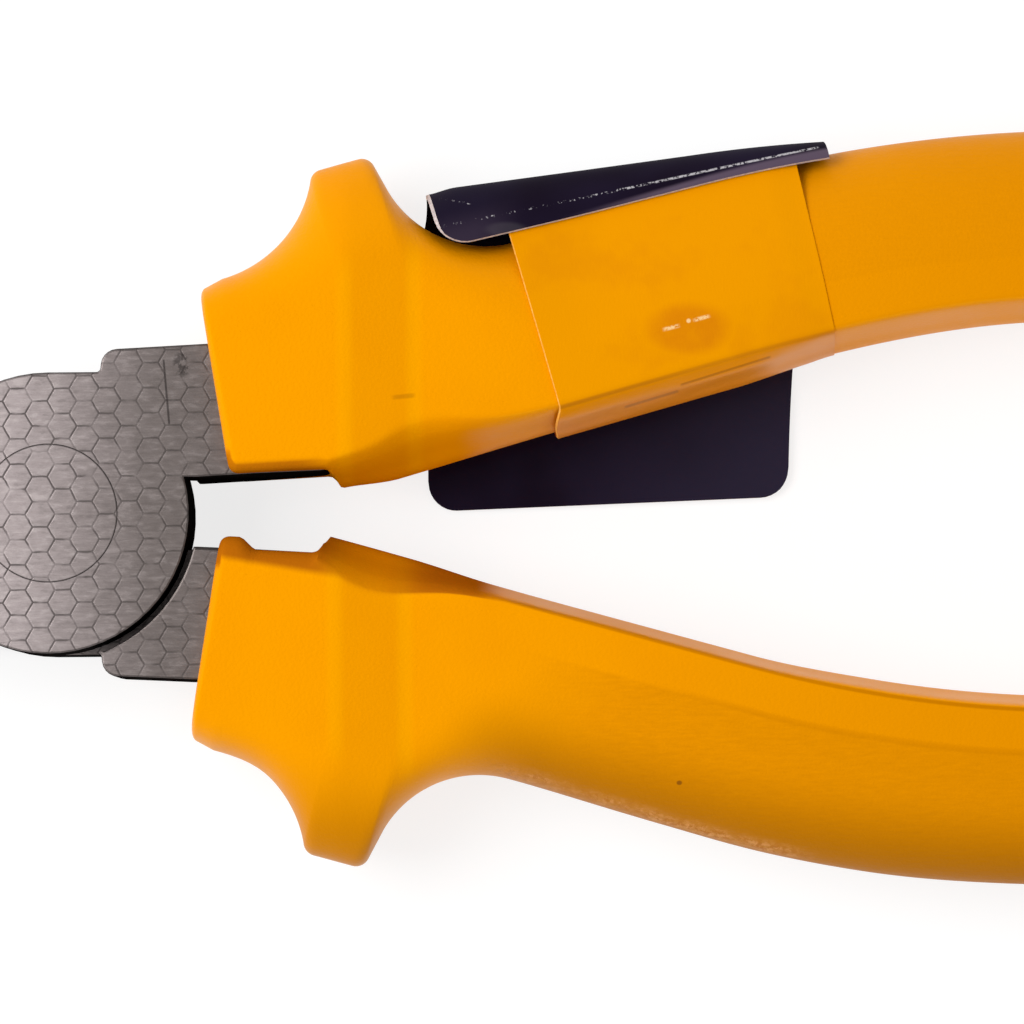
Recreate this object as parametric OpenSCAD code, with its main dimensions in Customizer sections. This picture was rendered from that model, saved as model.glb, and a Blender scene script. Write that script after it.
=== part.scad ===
// Lineman pliers with moulded grips and a folded card label on the upper handle.
// The pivot axis is Z, with the back face of the joint at z = 0 and its front face at z = joint_t.
// The jaws point to -X, the handles to +X, and the upper handle lies on the +Y side.
// All sizes are in millimetres and all angles in degrees. The jaws are closed.

/* [Overall] */
// Distance from the pivot to the tips of the jaws
jaw_reach = 41; // [38:0.5:46]
// Distance from the pivot to the ends of the grips
handle_reach = 139; // [130:1:150]

/* [Joint] */
// Thickness of the head across the lap joint
joint_t = 11; // [9.5:0.25:13]
// Radius of the joint disc of each half
disc_r = 12.6; // [11.5:0.1:14]
// Gap between a joint disc and the arc cut around it
disc_gap = 0.75; // [0.4:0.05:1.2]
// Gap between the two lapped discs
lap_gap = 0.1; // [0.05:0.01:0.3]
// How far the handles swing open
open_angle = 40; // [30:1:44]
// Swing left between the shoulders when the handles are fully open
stop_angle = 4; // [3:0.5:8]

/* [Rivet] */
// Radius of the rivet's shank
rivet_r = 4.5; // [3.5:0.1:5.4]
// Radius of the rivet's countersunk heads
rivet_head_r = 6.15; // [5.6:0.05:7.5]
// Depth of the rivet's countersunk heads
rivet_head_depth = 2.2; // [1.2:0.1:3.5]
// Running clearance round the rivet
rivet_fit = 0.05; // [0.02:0.01:0.1]

/* [Jaws] */
// Gap left between the closed jaws
jaw_gap = 0.1; // [0.05:0.01:0.3]
// Width of one jaw at its tip
jaw_tip_w = 5; // [4.2:0.1:7]
// Thickness of the jaws at their tips
jaw_tip_t = 9.2; // [7:0.1:9.5]
// Height of a jaw's shoulder above the joint disc
jaw_rise = 1.2; // [0.8:0.1:2]
// Distance from the pivot to the middle of the pipe grip
pipe_x = 27.5; // [26:0.1:29]
// Half the length of the pipe grip
pipe_half = 5.2; // [4:0.1:6]
// Depth of the pipe grip in each jaw
pipe_depth = 3.5; // [2.8:0.1:3.8]
// Number of notches in the pipe grip of each jaw
pipe_notches = 7; // [4:1:8]
// Depth of the notches in the pipe grip
pipe_notch_depth = 0.6; // [0.4:0.05:0.8]
// Pitch of the serrations on the flat of the nose
nose_pitch = 1.1; // [0.8:0.05:1.6]
// Depth of the serrations on the nose
nose_depth = 0.45; // [0.25:0.05:0.6]
// Height of the cutter's bevels on the faces of the head
cutter_bevel = 3.2; // [2:0.1:4]
// Width of the land along each cutting edge
cutter_land = 0.3; // [0.15:0.05:0.6]

/* [Shanks] */
// Distance from the centreline to the inner edge of a shank, beside the joint
shank_inner = 3.1; // [2.5:0.1:4]
// Height of a shank's shoulder above the joint disc
shoulder_h = 2; // [1:0.1:3]
// Radius of the outer corner of a shank's shoulder
shoulder_r = 1.5; // [0.6:0.1:1.5]
// Angle from the centreline at which a shoulder rises from its disc
shoulder_angle = 70; // [66:1:73]
// Slope of the shanks away from the centreline
shank_slope = 3; // [0:0.5:5]
// Length of shank between the joint's arc cut and the grip
neck_len = 2.15; // [1.5:0.05:5]

/* [Handles] */
// Distance from the centreline to the middle of a handle, at the front of the grip
handle_y = 8.3; // [7.8:0.1:9.2]
// Angle at which a handle leaves the head
handle_angle = 15.6; // [13:0.1:18]
// Length of the straight part of a handle
straight_len = 47; // [42:1:52]
// Radius of the bow in a handle
bow_r = 120; // [100:5:140]
// Angle at which the end of a handle turns in
tail_angle = 8; // [4:0.5:11]
// Width of the steel tang inside the grip
tang_w = 8; // [6.5:0.1:9]
// Thickness of the steel tang
tang_t = 7; // [5:0.1:8.5]
// Length of grip beyond the end of the tang
tang_end = 9; // [7:0.5:14]
// Distance from the front of the grip to the place where the shank starts to thin
taper_start = 3; // [2:0.5:5]
// Length over which the shank thins down to the tang
tang_taper = 8; // [5:0.5:12]
// Distance before the end of the grip's notch at which the shank bends in to the tang
tang_bend = 0.8; // [0.5:0.1:1.5]

/* [Grips] */
// How much farther the lower grip is pushed on towards the joint
lower_seat = 1; // [0:0.1:1.5]
// Clearance between the steel and the grip
grip_fit = 0.12; // [0.05:0.01:0.2]
// Wall of the grip over the faces of the shank
collar_wall = 2.9; // [2:0.1:4]
// Wall of the grip over the faces of the tang
face_wall = 3.7; // [2.5:0.1:4.5]
// Wall of the grip on the inner side of the tang
inner_wall = 4.4; // [3.5:0.1:5.5]
// Wall of the grip on the outer side of the tang
outer_wall = 4.6; // [3.5:0.1:5.5]
// Height of the collar above the middle of the handle, at its front
collar_h = 11.8; // [10.5:0.1:13]
// Height of the finger guard above the middle of the handle
guard_h = 19.5; // [17:0.1:21]
// Radius of the hollow in front of the finger guard
guard_front_r = 11; // [10:0.1:13]
// Radius of the hollow behind the finger guard
guard_back_r = 10; // [9:0.1:12]
// Length of the flat tip of the finger guard
guard_tip = 3.6; // [2:0.1:5]
// Radius of the corners of the finger guard
guard_corner_r = 1.2; // [0.6:0.1:1.6]
// Amount by which each face of the finger guard slopes in towards its tip
guard_thin = 1.95; // [0.5:0.05:2.5]
// Depth of the waist behind the finger guard
waist = 0.3; // [0:0.1:1.5]
// Distance from the front of the grip to the slope behind its collar
slope_start = 10.3; // [9.5:0.1:12]
// Length of the slope behind the collar
slope_len = 7.8; // [6:0.1:10]
// Width of the sloping band along the inner side of the grip
band_w = 1.7; // [1.2:0.1:2.4]
// How much wider that band is beside the finger guard
band_swell = 2.2; // [1:0.1:2.6]
// Distance from the middle of the handle in to the crease where its face starts to round off
crease_n = 3.1; // [1:0.1:3.5]
// Fillet round the front face of the grip
front_fillet = 0.7; // [0.4:0.05:1.2]
// Lean of the front face of the grip
front_lean = 6.5; // [0:0.5:10]
// Length of the notch that shows the inner edge of the shank
notch_len = 10.1; // [8:0.1:12]
// Length of the rim bead at the front of the lower grip's notch
bead_len = 4; // [2.5:0.1:5]
// Height of the rim bead above the shank's inner edge
bead_h = 0.9; // [0.5:0.05:1.2]

/* [Label] */
// Clearance between the layers of the label and the grip
label_fit = 0.06; // [0.03:0.01:0.12]
// Thickness of the strap
strap_t = 0.2; // [0.15:0.01:0.4]
// Distance from the front of the grip to the strap
strap_start = 29.3; // [29:0.1:34]
// Width of the strap along the handle
strap_w = 26; // [16:0.5:28]
// Thickness of the card
card_t = 0.4; // [0.3:0.02:0.6]
// Distance from the front of the grip to the front end of the card's fold
fold_start = 23.2; // [22.5:0.1:26]
// Length of the card's fold
fold_len = 34.9; // [30:0.1:38]
// Stand-off of the fold from the outer side of the grip, at its front end
fold_front = 6.4; // [4:0.1:8]
// Stand-off of the fold from the outer side of the grip, at its back end
fold_back = 1.3; // [1.2:0.1:3]
// Drop of the card below the inner side of the grip, at its front end
drop_front = 4; // [2:0.1:6]
// Drop of the card below the inner side of the grip, at its back end
drop_back = 11.8; // [9:0.1:14]
// How far the front edge of the card leans forward to its lower corner
lean_front = 7.7; // [5:0.1:8]
// How far the back edge of the card leans forward to its lower corner
lean_back = 10.8; // [8:0.1:13]
// Radius of the card's corners
card_corner_r = 2.8; // [1.5:0.1:4]

/* [Hidden] */
$fn = 96;
eps = 0.01;
z_mid = joint_t / 2;
arc_r = disc_r + disc_gap;
shank_outer = disc_r + shoulder_h;
shoulder_x = disc_r / tan(shoulder_angle);
jaw_angle = shoulder_angle + open_angle + stop_angle;
pipe_r = (pipe_half * pipe_half + pipe_depth * pipe_depth) / (2 * pipe_depth);
nose_len = jaw_reach - pipe_x - pipe_half;
nose_count = floor((nose_len - 0.6) / nose_pitch);
handle_x = arc_r + neck_len;
taper_x = handle_x + taper_start;
notch_x = handle_x + notch_len;
notch_step = 1.4;
bow_len = bow_r * (handle_angle + tail_angle) * PI / 180;
bow_end = straight_len + bow_len;
bow_end_x = handle_x + straight_len * cos(handle_angle) + bow_r * (sin(handle_angle) + sin(tail_angle));
grip_len = bow_end + (handle_reach - bow_end_x) / cos(tail_angle);
tang_len = grip_len - tang_end;
inner_n = tang_w / 2 + inner_wall;
outer_n = tang_w / 2 + outer_wall;
collar_half = z_mid + collar_wall;
handle_half = tang_t / 2 + face_wall;
front_len = 3.5;
hollow_n = collar_h + 0.5;
hollow_a = asin((guard_h - 0.66 * guard_corner_r - hollow_n - guard_front_r) / guard_front_r);
tip_u = front_len + guard_front_r * cos(hollow_a) + 0.94 * guard_corner_r;
waist_n = outer_n - waist;
flank_a = 195;
back_u = tip_u + guard_tip + guard_corner_r + 0.6 - guard_back_r * cos(flank_a);
band_u = tip_u + 0.9;
band_spread = 5.6;
dome_len = 6;
orange = [0.97, 0.58, 0.02];
steel = [0.56, 0.52, 0.51];
navy = [0.13, 0.11, 0.19];

function lerp(a, b, t) = a + (b - a) * t;
function unit(v) = v / norm(v);
function ramp(x0, x1, x) = max(0, min(1, (x - x0) / (x1 - x0)));
function smooth(x0, x1, x) = let (t = ramp(x0, x1, x)) t * t * (3 - 2 * t);
function arc(c, r, a0, a1, steps) =
    [for (i = [0:steps]) let (a = lerp(a0, a1, i / steps)) c + r * [cos(a), sin(a)]];

// Arc that rounds the corner b between the points a and c
function corner(a, b, c, r, steps = 5) =
    let (
        v = unit(a - b),
        w = unit(c - b),
        half = acos(v * w) / 2,
        middle = b + unit(v + w) * r / sin(half),
        first = b + v * r / tan(half) - middle,
        last = b + w * r / tan(half) - middle,
        a0 = atan2(first.y, first.x),
        turn = atan2(first.x * last.y - first.y * last.x, first * last)
    ) arc(middle, r, a0, a0 + turn, steps);

// Outline through points [x, y, corner radius]
function rounded(points) =
    let (count = len(points))
    [
        for (i = [0:count - 1])
            let (a = points[(i + count - 1) % count], b = points[i], c = points[(i + 1) % count])
                each (b[2] > 0 ? corner([a.x, a.y], [b.x, b.y], [c.x, c.y], b[2]) : [[b.x, b.y]])
    ];

// Point at the distance u along the upper handle and n to its outer side
function on_handle(u, n) =
    let (
        in_straight = min(u, straight_len),
        in_bow = max(0, min(u, bow_end) - straight_len),
        in_tail = max(0, u - bow_end),
        a = handle_angle - in_bow / bow_r * 180 / PI
    )
    [handle_x, handle_y]
        + in_straight * [cos(handle_angle), sin(handle_angle)]
        + bow_r * [sin(handle_angle) - sin(a), cos(a) - cos(handle_angle)]
        + in_tail * [cos(a), sin(a)]
        + n * [-sin(a), cos(a)];

// Height of the shank's inner edge at the distance x from the pivot
function shank_edge(x) = shank_inner + max(0, x - arc_r) * tan(shank_slope);

// Outline of the upper shank and its tang, grown by g
function lever_outline(g) =
    let (
        half = tang_w / 2 + g,
        stops = [straight_len, for (i = [1:10]) straight_len + bow_len * i / 10],
        bend_x = notch_x - tang_bend,
        tang_in = notch_len + 3.5,
        tang_out = notch_len + 1
    )
    rounded([
        [0, shank_inner - g, 0],
        [arc_r, shank_inner - g, 0],
        [bend_x, shank_edge(bend_x) - g, 1.5],
        [each on_handle(tang_in, -half), 4],
        for (u = stops) [each on_handle(u, -half), 0],
        [each on_handle(tang_len + g, -half), 2.5],
        [each on_handle(tang_len + g, half), 2.5],
        for (i = [len(stops) - 1:-1:0]) [each on_handle(stops[i], half), 0],
        [each on_handle(tang_out, half), 6],
        [handle_x + 1.5, shank_outer + 0.6 + g, 3],
        [shoulder_x + shoulder_h * 0.15, shank_outer + g, min(shoulder_r, 0.75 * shoulder_h)],
        [shoulder_x + shoulder_h * 0.05, disc_r + g, 0.2 * shoulder_h],
        [0, disc_r + g, 0]
    ]);

// Outline of the lower jaw
function jaw_outline() =
    let (
        back = jaw_angle + 3,
        shoulder = (disc_r + jaw_rise) * [cos(back), -sin(back)],
        tip = [-jaw_reach, -jaw_tip_w],
        belly = lerp(shoulder, tip, 0.45) - [0, 0.8]
    )
    rounded([
        [0, -jaw_gap / 2, 0],
        [-jaw_reach, -jaw_gap / 2, 0.4],
        [tip.x, tip.y, 1.6],
        [belly.x, belly.y, 60],
        [shoulder.x, shoulder.y, 0.9],
        [disc_r * cos(jaw_angle), -disc_r * sin(jaw_angle), 0]
    ]);

// Space between the two faces of a half, seen from the side and grown by g
module side_profile(g = 0) {
    profile = [
        [-jaw_reach - 1, jaw_tip_t / 2 + g],
        [-arc_r - 1, joint_t / 2 + g],
        [taper_x, joint_t / 2 + g],
        [taper_x + tang_taper, tang_t / 2 + g],
        [handle_reach + 10, tang_t / 2 + g]
    ];
    back = [for (i = [len(profile) - 1:-1:0]) [profile[i].x, -profile[i].y]];
    translate([0, 60, z_mid])
        rotate([90, 0, 0])
            linear_extrude(120)
                polygon(concat(profile, back));
}

// Notches that leave the serrations on the nose of the lower jaw
module nose_notches() {
    first = -jaw_reach + (nose_len - (nose_count - 1) * nose_pitch) / 2;
    side = nose_pitch * 0.42;
    for (i = [0:nose_count - 1])
        translate([first + i * nose_pitch, -jaw_gap / 2, -1])
            linear_extrude(joint_t + 2)
                polygon([[-side, eps], [0, -nose_depth], [side, eps]]);
}

// Hollow of the lower jaw's pipe grip, with its notches
module pipe_hollow() {
    spread = 2 * asin(pipe_half / pipe_r) * 0.8;
    translate([-pipe_x, pipe_r - pipe_depth, -1]) {
        cylinder(r = pipe_r, h = joint_t + 2);
        for (i = [0:pipe_notches - 1])
            rotate(-90 + spread * (i / (pipe_notches - 1) - 0.5))
                linear_extrude(joint_t + 2)
                    polygon([[pipe_r - 0.4, -0.75], [pipe_r + pipe_notch_depth, 0], [pipe_r - 0.4, 0.75]]);
    }
}

// Bevels of the lower jaw's cutting edge, cut from both faces
module cutter_bevels() {
    edge = cutter_land / 2;
    length = pipe_x - arc_r - 0.3;
    slope = cutter_bevel / (z_mid - edge);
    top = z_mid + 1;
    for (s = [-1, 1])
        translate([-pipe_x, -jaw_gap / 2, z_mid])
            rotate([90, 0, 90])
                linear_extrude(length)
                    polygon([[slope, s * (edge - 1)], [slope * (edge - top), s * top], [slope, s * top]]);
}

// Forged half with the front disc, the upper shank and tang, and the lower jaw
module forged_half() {
    difference() {
        intersection() {
            side_profile();
            union() {
                translate([0, 0, z_mid + lap_gap / 2])
                    linear_extrude(z_mid)
                        union() {
                            circle(r = disc_r);
                            polygon(lever_outline(0));
                            polygon(jaw_outline());
                        }
                translate([0, 0, -1])
                    linear_extrude(joint_t + 2)
                        difference() {
                            union() {
                                polygon(lever_outline(0));
                                polygon(jaw_outline());
                            }
                            circle(r = arc_r);
                        }
            }
        }
        rivet_form(rivet_fit, 1);
        nose_notches();
        pipe_hollow();
        cutter_bevels();
    }
}

// Rivet grown by g, running past the faces of the joint by over
module rivet_form(g, over) {
    slope = (rivet_head_r - rivet_r) / rivet_head_depth;
    translate([0, 0, -over])
        cylinder(r = rivet_r + g, h = joint_t + 2 * over);
    for (s = [0, 1])
        translate([0, 0, s * joint_t])
            mirror([0, 0, s])
                translate([0, 0, -over])
                    cylinder(
                        r1 = rivet_head_r + g + over * slope,
                        r2 = rivet_r + g,
                        h = rivet_head_depth + over
                    );
}

// Turns a piece of the upper half over into the place of its twin
module turned_over() {
    translate([0, 0, joint_t])
        rotate([180, 0, 0])
            children();
}

// Distance from the middle of the handle to the outer side of the grip, behind the guard
function handle_outer(u) = outer_n - waist * (1 - smooth(back_u, back_u + 14, u));

// Stations [u, outer side] along the grip, from its front to the start of its domed end
stations = concat(
    [[0, collar_h], [0.25, collar_h], [front_fillet, collar_h + 0.1], [2, collar_h + 0.3]],
    arc([front_len, hollow_n + guard_front_r], guard_front_r, -90, hollow_a, 11),
    arc([tip_u, guard_h - guard_corner_r], guard_corner_r, 155, 90, 4),
    arc([tip_u + guard_tip, guard_h - guard_corner_r], guard_corner_r, 90, 10, 5),
    arc([back_u, waist_n + guard_back_r], guard_back_r, flank_a, 270, 9),
    [for (i = [1:22]) let (u = lerp(back_u, grip_len - dome_len, i / 22)) [u, handle_outer(u)]]
);
front_insets = [front_fillet, front_fillet * 0.3, 0];

// Half the height of the grip at the distance u along the handle and n to its outer side
function face_half(u, n) =
    let (
        along = u * cos(handle_angle) - n * sin(handle_angle),
        slope = smooth(slope_start, slope_start + slope_len, along),
        thin = guard_thin / handle_half * ramp(collar_h - 0.5, guard_h - 0.5, n)
    )
    lerp(collar_half, handle_half, slope) * (1 - thin);

// Width of the sloping band along the inner side of the grip
function band_at(u) = band_w + band_swell * exp(-pow((u - band_u) / band_spread, 2));

// Cross-section of the grip, as points [n, z] from the inner side over the front face and back
function section(u, outer, shrink = 1, inset = 0) =
    let (
        a = (inner_n + 0.2 * (1 - smooth(10, 30, u)) - inset) * shrink,
        b = (outer - inset) * shrink,
        band = band_at(u) * shrink,
        flat = min(b - 1.5, lerp(6, -crease_n, smooth(16, 34, u)) * shrink),
        power = lerp(4, 2.6, smooth(14, 30, u)),
        shares = [
            [-a, 0],
            [-a + 0.36 * band, 0.5],
            [-a + 0.72 * band, 0.88],
            [-a + 0.94 * band, 0.98],
            [-a + 1.2 * band, 1],
            [flat, 1],
            for (i = [1:7])
                let (f = 90 * i / 7)
                    [flat + (b - flat) * pow(sin(f), 2 / power), pow(max(0, cos(f)), 2 / power)]
        ],
        front = [for (p = shares) [p.x, p.y * (face_half(u, p.x) - inset) * shrink]],
        count = len(front)
    )
    concat(front, [for (i = [count - 2:-1:1]) [front[i].x, -front[i].y]]);

// Ring of a section on the upper handle, pushed on by seat; the front of the grip leans back
function ring(u, points, seat) =
    let (lean = tan(front_lean) * (1 - ramp(0, front_len, u)))
    [for (p = points) let (q = on_handle(u - seat + lean * p.x, p.x)) [q.x, q.y, z_mid + p.y]];

// Two triangles between the columns j and k of the rows i and i + 1
function patch(i, j, k, row) =
    let (a = i * row, b = a + row)
    [[a + j, a + k, b + k], [a + j, b + k, b + j]];

// Solid through a list of rings
module loft(rings) {
    row = len(rings[0]);
    last = len(rings) - 1;
    polyhedron(
        points = [for (r = rings) each r],
        faces = concat(
            [[for (j = [row - 1:-1:0]) j]],
            [for (i = [0:last - 1], j = [0:row - 1]) each patch(i, j, (j + 1) % row, row)],
            [[for (j = [0:row - 1]) last * row + j]]
        )
    );
}

// Closed sheet between two grids of points
module sheet(top, bottom) {
    rows = len(top);
    row = len(top[0]);
    under = rows * row;
    top_faces = [for (i = [0:rows - 2], j = [0:row - 2]) each patch(i, j, j + 1, row)];
    edge = concat(
        [for (j = [0:row - 1]) j],
        [for (i = [1:rows - 1]) i * row + row - 1],
        [for (j = [row - 2:-1:0]) (rows - 1) * row + j],
        [for (i = [rows - 2:-1:1]) i * row]
    );
    count = len(edge);
    polyhedron(
        points = concat([for (r = top) each r], [for (r = bottom) each r]),
        faces = concat(
            top_faces,
            [for (f = top_faces) [f[0] + under, f[2] + under, f[1] + under]],
            [for (i = [0:count - 1]) [edge[i], edge[i] + under, edge[(i + 1) % count]]],
            [for (i = [0:count - 1]) [edge[i] + under, edge[(i + 1) % count] + under, edge[(i + 1) % count]]]
        )
    );
}

// Grip of the upper handle, pushed on by seat; bead is the height of the rim at the front of its notch
module grip(seat, bead) {
    dome = [20, 38, 54, 68, 80];
    end_n = handle_outer(grip_len);
    front = handle_x - seat;
    step = notch_x - seat;
    difference() {
        loft(concat(
            [for (i = [0:len(stations) - 1])
                let (s = stations[i], inset = i < 3 ? front_insets[i] : 0)
                    ring(s[0], section(s[0], s[1], 1, inset), seat)],
            [for (a = dome)
                let (u = grip_len - dome_len * (1 - sin(a)))
                    ring(u, section(u, end_n, pow(cos(a), 0.6)), seat)]
        ));
        intersection() {
            side_profile(grip_fit);
            translate([0, 0, -1])
                linear_extrude(joint_t + 2)
                    polygon(lever_outline(grip_fit));
        }
        translate([0, 0, z_mid - 30])
            linear_extrude(60)
                polygon(rounded([
                    [0, shank_edge(0) - grip_fit - bead, 0],
                    each bead > 0 ? [
                        [front + bead_len - 1.7 * bead, shank_edge(front) - grip_fit - bead, 0.8],
                        [front + bead_len, shank_edge(front) - grip_fit, 0.8]
                    ] : [],
                    [step - 0.5, shank_edge(step) - grip_fit, 1],
                    [step + notch_step, shank_edge(step) - 3, 0],
                    [step + notch_step, -40, 0],
                    [0, -40, 0]
                ]));
    }
}

// Line through points [n, z] moved out by d, to the left of its direction
function moved_out(line, d) =
    let (last = len(line) - 1)
    [for (i = [0:last])
        let (v = unit(line[min(i + 1, last)] - line[max(i - 1, 0)]))
            line[i] + d * [-v.y, v.x]];

// Distance from the middle of the handle to the free edge of the card's flap
function flap_n(u) = outer_n + lerp(0.5, -0.6, ramp(fold_start, fold_start + fold_len, u));

// Line of the strap on the grip, from its end on the back face round the inner side to the front,
// where it runs straight on, by tuck under the card's flap
function strap_line(u, tuck) =
    let (
        points = section(u, handle_outer(u)),
        count = len(points),
        leave = 7,
        along = points[leave + 1] - points[leave - 1],
        run = (flap_n(u) + tuck - points[leave].x) / along.x
    )
    concat(
        [for (i = [count - 5:count - 1]) points[i]],
        [for (i = [0:leave]) points[i]],
        [points[leave] + run * along]
    );

function strap_ring(u, d) =
    [for (p = moved_out(strap_line(u, 0.25), d)) let (q = on_handle(u, p.x)) [q.x, q.y, z_mid + p.y]];

// Height of the strap's face above the middle of the grip, below the edge of the card's flap
function strap_top(u) = let (line = strap_line(u, 0)) line[len(line) - 1].y + label_fit + strap_t;

// Amount by which a rounded corner takes back an edge, t along a width
function corner_cut(t, width) =
    let (r = card_corner_r, x = min(t, 1 - t) * width)
    x < r ? r - sqrt(r * r - (r - x) * (r - x)) : 0;

// One cross-line of the card as points [distance from the crest, z], from the low edge round to the flap
function card_line(t, reach, flap) =
    let (
        low_z = -(handle_half + 2 * label_fit + strap_t + card_t / 2),
        top_z = strap_top(fold_start + t * fold_len) + 2 * label_fit + card_t / 2,
        mid_z = -0.5,
        bend = lerp(5.5, 4.5, t),
        cut = corner_cut(t, fold_len),
        stop = acos(t < 0.5 ? min(0.7, cut / flap) : 0)
    )
    concat(
        [for (f = [0, 0.35, 0.7]) [lerp(-reach + cut, -bend, f), low_z]],
        [for (a = [0:15:75]) [-bend * (1 - sin(a)), lerp(mid_z, low_z, cos(a))]],
        [for (i = [0:6]) let (a = stop * i / 6) [-flap * (1 - cos(a)), lerp(mid_z, top_z, sin(a))]]
    );
card_turn = 9;

// Points of the card across the handle at the fraction t of its length, moved out by d
function card_row(t, d) =
    let (
        fold_end = fold_start + fold_len,
        low_front = [fold_start - lean_front, -inner_n - drop_front],
        low = lerp(low_front, [fold_end - lean_back, -inner_n - drop_back], t),
        crest = lerp([fold_start, outer_n + fold_front], [fold_end, outer_n + fold_back], t),
        flap_u = fold_start + t * fold_len,
        flap = [flap_u, flap_n(flap_u)],
        up = unit(crest - low),
        over = unit(crest - flap),
        line = moved_out(card_line(t, norm(crest - low), norm(crest - flap)), d)
    )
    [for (i = [0:len(line) - 1])
        let (p = crest + line[i].x * (i < card_turn ? up : over), q = on_handle(p.x, p.y))
            [q.x, q.y, z_mid + line[i].y]];

// Fractions of the card's length, closer together at its rounded corners
card_corner_steps = [0, 0.006, 0.02, 0.045, 0.08];
card_steps = concat(
    card_corner_steps,
    [for (i = [1:7]) lerp(0.08, 0.92, i / 8)],
    [for (i = [4:-1:0]) 1 - card_corner_steps[i]]
);

module upper_half() color(steel) forged_half();

module lower_half() color(steel) turned_over() forged_half();

module pivot_rivet() color(steel)
    intersection() {
        rivet_form(0, 1);
        translate([-10, -10, 0])
            cube([20, 20, joint_t]);
    }

module upper_grip() color(orange) grip(0, 0);

module lower_grip() color(orange) turned_over() grip(lower_seat, bead_h);

module label_card() color(navy)
    sheet([for (t = card_steps) card_row(t, card_t / 2)], [for (t = card_steps) card_row(t, -card_t / 2)]);

module label_strap() color(orange)
    sheet(
        [for (i = [0:10]) strap_ring(strap_start + strap_w * i / 10, label_fit + strap_t)],
        [for (i = [0:10]) strap_ring(strap_start + strap_w * i / 10, label_fit)]
    );

upper_half();
lower_half();
pivot_rivet();
upper_grip();
lower_grip();
label_card();
label_strap();
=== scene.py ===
import math

import bmesh
import bpy
from mathutils import Matrix, Vector


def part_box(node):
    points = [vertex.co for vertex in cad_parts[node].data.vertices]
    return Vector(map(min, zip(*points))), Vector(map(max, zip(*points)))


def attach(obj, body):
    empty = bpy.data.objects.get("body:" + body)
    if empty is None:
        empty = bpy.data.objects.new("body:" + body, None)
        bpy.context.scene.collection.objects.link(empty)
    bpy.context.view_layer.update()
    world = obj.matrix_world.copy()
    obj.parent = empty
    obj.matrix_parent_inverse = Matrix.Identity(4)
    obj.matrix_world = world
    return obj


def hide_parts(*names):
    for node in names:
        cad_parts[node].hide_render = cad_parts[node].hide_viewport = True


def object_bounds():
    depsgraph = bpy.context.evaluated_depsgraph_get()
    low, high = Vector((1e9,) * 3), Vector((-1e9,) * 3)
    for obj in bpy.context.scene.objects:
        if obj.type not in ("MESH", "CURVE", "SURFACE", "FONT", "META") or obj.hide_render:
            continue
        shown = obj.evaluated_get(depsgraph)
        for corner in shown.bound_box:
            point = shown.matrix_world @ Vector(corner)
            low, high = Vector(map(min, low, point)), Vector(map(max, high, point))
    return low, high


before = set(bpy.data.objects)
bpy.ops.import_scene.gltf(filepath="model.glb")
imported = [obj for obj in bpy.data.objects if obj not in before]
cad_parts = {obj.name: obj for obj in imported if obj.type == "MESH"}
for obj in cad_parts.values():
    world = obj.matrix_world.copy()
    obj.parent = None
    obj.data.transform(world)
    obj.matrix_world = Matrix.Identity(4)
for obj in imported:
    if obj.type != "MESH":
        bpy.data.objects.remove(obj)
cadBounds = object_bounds()
scene = bpy.context.scene
mm = 0.001
print("frame loaded:", sorted(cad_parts))


# small helpers for curves

def lerp(a, b, t):
    return a + (b - a) * t


def ramp(low, high, x):
    return max(0.0, min(1.0, (x - low) / (high - low)))


def smooth(low, high, x):
    t = ramp(low, high, x)
    return t * t * (3 - 2 * t)


def bell(middle, spread, x):  # soft bump of height 1
    return math.exp(-((x - middle) / spread) ** 2)


def hill(rise, fall, x):  # from 0 to 1 over rise, and back to 0 over fall
    return smooth(*rise, x) * (1 - smooth(*fall, x))


def softRamp(x, k):  # 0 below -k, x above k, a parabola between
    return 0.0 if x < -k else x if x > k else (x + k) ** 2 / (4 * k)


def softMax(a, b, k):
    return b + softRamp(a - b, k)


def easedRamp(low, high, ease, x):  # straight ramp from 0 to 1 with rounded ends
    return (softRamp(x - low, ease) - softRamp(x - high, ease)) / (high - low)


def arcPoints(centre, radius, first, last, steps):
    angles = [math.radians(lerp(first, last, i / steps)) for i in range(steps + 1)]
    return [(centre[0] + radius * math.cos(a), centre[1] + radius * math.sin(a)) for a in angles]


def splinePoints(points, steps):  # smooth line through points, without the first and last one
    line = []
    for a, b, c, d in zip(points, points[1:], points[2:], points[3:]):
        for i in range(steps):
            t = i / steps
            line.append(tuple(
                0.5 * (2 * q + (r - p) * t + (2 * p - 5 * q + 4 * r - s) * t ** 2
                       + (3 * q - p - 3 * r + s) * t ** 3)
                for p, q, r, s in zip(a, b, c, d)))
    return line + [points[-2]]


def roundedBack(radius, x):  # how far a rounded edge lies back at x from its end
    return radius - math.sqrt(radius ** 2 - max(0.0, radius - x) ** 2)


def movedOut(line, distance):  # line through points (n, z) moved to its left
    out = []
    for i, (n, z) in enumerate(line):
        (n0, z0), (n1, z1) = line[max(i - 1, 0)], line[min(i + 1, len(line) - 1)]
        length = math.hypot(n1 - n0, z1 - z0)
        out.append((n - distance * (z1 - z0) / length, z + distance * (n1 - n0) / length))
    return out


# shader sockets that work in Python expressions

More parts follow.
